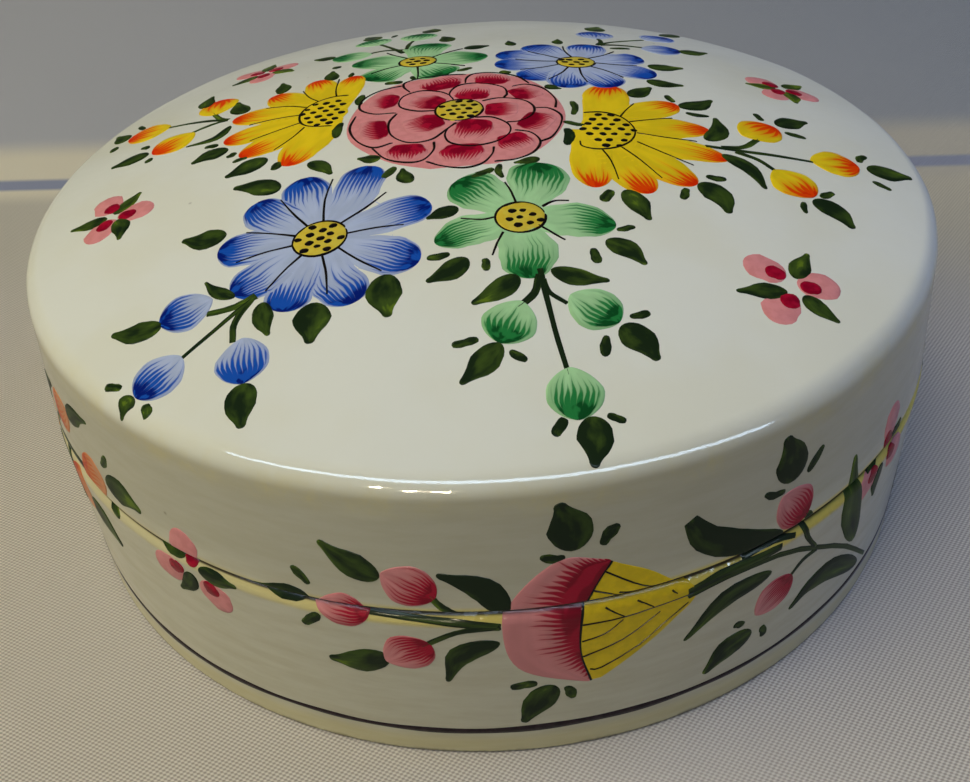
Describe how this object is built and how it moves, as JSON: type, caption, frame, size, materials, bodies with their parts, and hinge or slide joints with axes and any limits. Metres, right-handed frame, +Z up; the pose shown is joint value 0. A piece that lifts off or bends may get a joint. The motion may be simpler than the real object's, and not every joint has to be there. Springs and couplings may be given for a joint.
{
  "type": "round trinket box with lift-off lid",
  "caption": "Round papier-mache trinket box: straight side wall, flat floor, inner locating collar, and a lift-off lid with a shallow domed top.",
  "frame": {"origin": "centre of the underside, on the surface the box stands on", "axes": "+Z up along the box's axis of revolution, the way the lid lifts; -Y is the side of the painted design that faces the viewer"},
  "size_m": [0.1204, 0.1204, 0.051],
  "materials": {
    "cream_enamel": "papier-mache with a cream ground coat, hand-painted flowers and clear gloss lacquer",
    "dark_lining": "papier-mache with a dark brown-black painted finish, satin"
  },
  "bodies": {
    "base": {"base_hoop": "cream_enamel", "base_floor": "dark_lining", "locating_collar": "dark_lining"},
    "lid": {"lid_band": "cream_enamel", "lid_crown": "cream_enamel"}
  },
  "joints": [
    {"name": "lid_lift", "type": "slide", "parent": "base", "child": "lid", "axis": [0, 0, 1], "range_m": [0, 0.06]}
  ]
}
